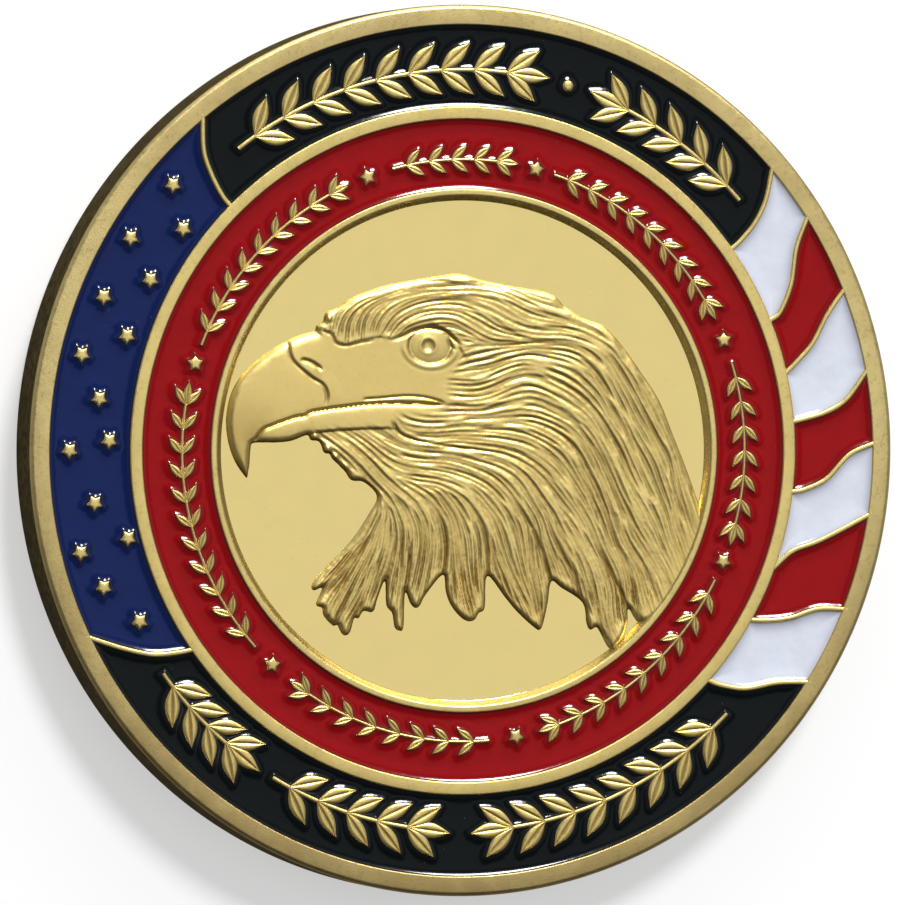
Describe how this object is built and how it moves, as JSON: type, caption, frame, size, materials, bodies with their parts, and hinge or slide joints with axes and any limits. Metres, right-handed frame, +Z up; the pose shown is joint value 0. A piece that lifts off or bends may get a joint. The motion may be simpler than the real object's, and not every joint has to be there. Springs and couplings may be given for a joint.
{
  "type": "challenge coin",
  "caption": "Round metal challenge coin with an eagle's head in relief, a red enamel ring and an outer band of black, blue and striped enamel.",
  "frame": {"origin": "centre of the lower rim plane, which the coin lies on", "axes": "+Z up out of the eagle side, +Y to the top of the design, +X to the right of it"},
  "size_m": [0.04, 0.04, 0.003],
  "materials": {
    "gold_metal": "struck brass with a gold plate: satin rims, frosted relief and a bright polished field",
    "black_enamel": "glossy soft enamel, sunk below the metal",
    "blue_enamel": "glossy soft enamel, sunk below the metal",
    "red_enamel": "glossy soft enamel, sunk below the metal",
    "white_enamel": "glossy soft enamel, sunk below the metal"
  },
  "bodies": {
    "root": {"coin_body": "gold_metal", "enamel_black_top": "black_enamel", "enamel_black_bottom": "black_enamel", "enamel_blue": "blue_enamel", "enamel_red_ring": "red_enamel", "stripe_white_1": "white_enamel", "stripe_red_1": "red_enamel", "stripe_white_2": "white_enamel", "stripe_red_2": "red_enamel", "stripe_white_3": "white_enamel", "stripe_red_3": "red_enamel", "stripe_white_4": "white_enamel"}
  },
  "joints": []
}
